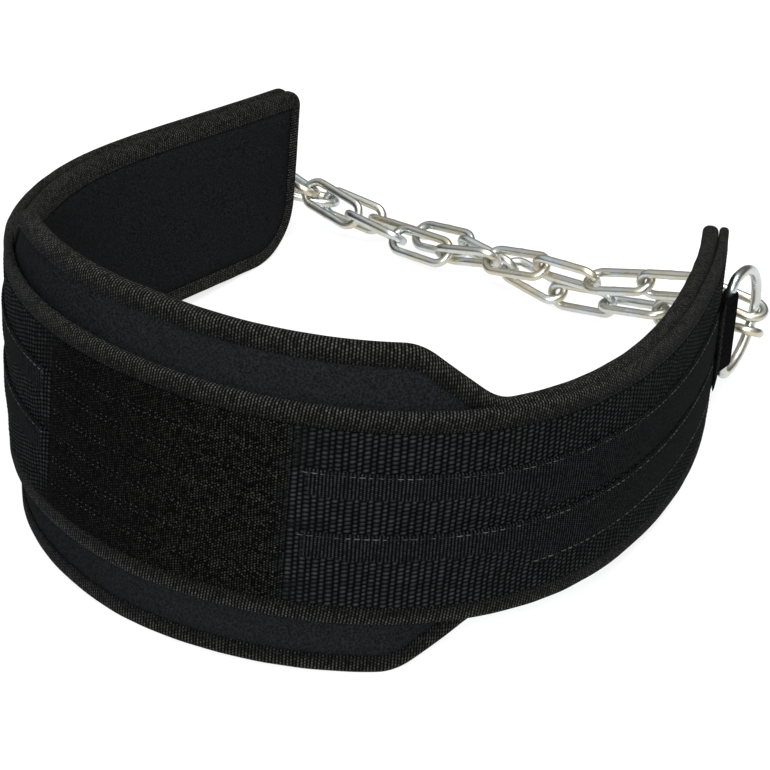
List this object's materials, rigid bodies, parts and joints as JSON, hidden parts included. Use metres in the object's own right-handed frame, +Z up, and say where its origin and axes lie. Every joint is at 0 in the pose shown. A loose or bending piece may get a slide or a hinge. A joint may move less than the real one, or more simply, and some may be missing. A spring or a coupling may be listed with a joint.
{
  "type": "dip belt",
  "caption": "Padded lifting belt with a tall lumbar section, standing on edge in a U, with a doubled chain hooked between the D-rings at its wing ends.",
  "frame": {"origin": "middle of the bounding box, on the floor that the belt stands on", "axes": "+Z up, -Y towards the outside of the lumbar section, +Y towards the opening between the wings that the chain closes, +X towards the right wing"},
  "size_m": [0.3906, 0.4042, 0.1649],
  "materials": {
    "pad_felt": "matte, smooth faced",
    "pad_binding_tape": "woven tape",
    "band_nylon": "matte",
    "band_binding_tape": "woven tape",
    "quilted_nylon": "quilted in rows",
    "coarse_webbing": "coarse basket weave",
    "ribbed_strap": "fine ribs, slight sheen",
    "tab_webbing": "fine ribs",
    "ring_steel": "polished",
    "chain_steel": "bright zinc plated",
    "clasp_steel": "bright zinc plated"
  },
  "bodies": {
    "root": {"inner_pad": "pad_felt", "inner_pad_binding": "pad_binding_tape", "outer_band": "band_nylon", "outer_band_binding": "band_binding_tape", "lumbar_panel": "quilted_nylon", "webbing_right": "coarse_webbing", "upper_strap_right": "ribbed_strap", "lower_strap_right": "ribbed_strap", "webbing_left": "coarse_webbing", "upper_strap_left": "ribbed_strap", "lower_strap_left": "ribbed_strap", "ring_tab_right": "tab_webbing", "ring_right": "ring_steel", "ring_tab_left": "tab_webbing", "ring_left": "ring_steel", "chain_a_01": "chain_steel", "chain_a_02": "chain_steel", "chain_a_03": "chain_steel", "chain_a_04": "chain_steel", "chain_a_05": "chain_steel", "chain_a_06": "chain_steel", "chain_a_07": "chain_steel", "chain_a_08": "chain_steel", "chain_a_09": "chain_steel", "chain_a_10": "chain_steel", "chain_clasp": "clasp_steel", "chain_b_01": "chain_steel", "chain_b_02": "chain_steel", "chain_b_03": "chain_steel", "chain_b_04": "chain_steel", "chain_b_05": "chain_steel", "chain_b_06": "chain_steel", "chain_b_07": "chain_steel", "chain_b_08": "chain_steel", "chain_b_09": "chain_steel"}
  },
  "joints": []
}
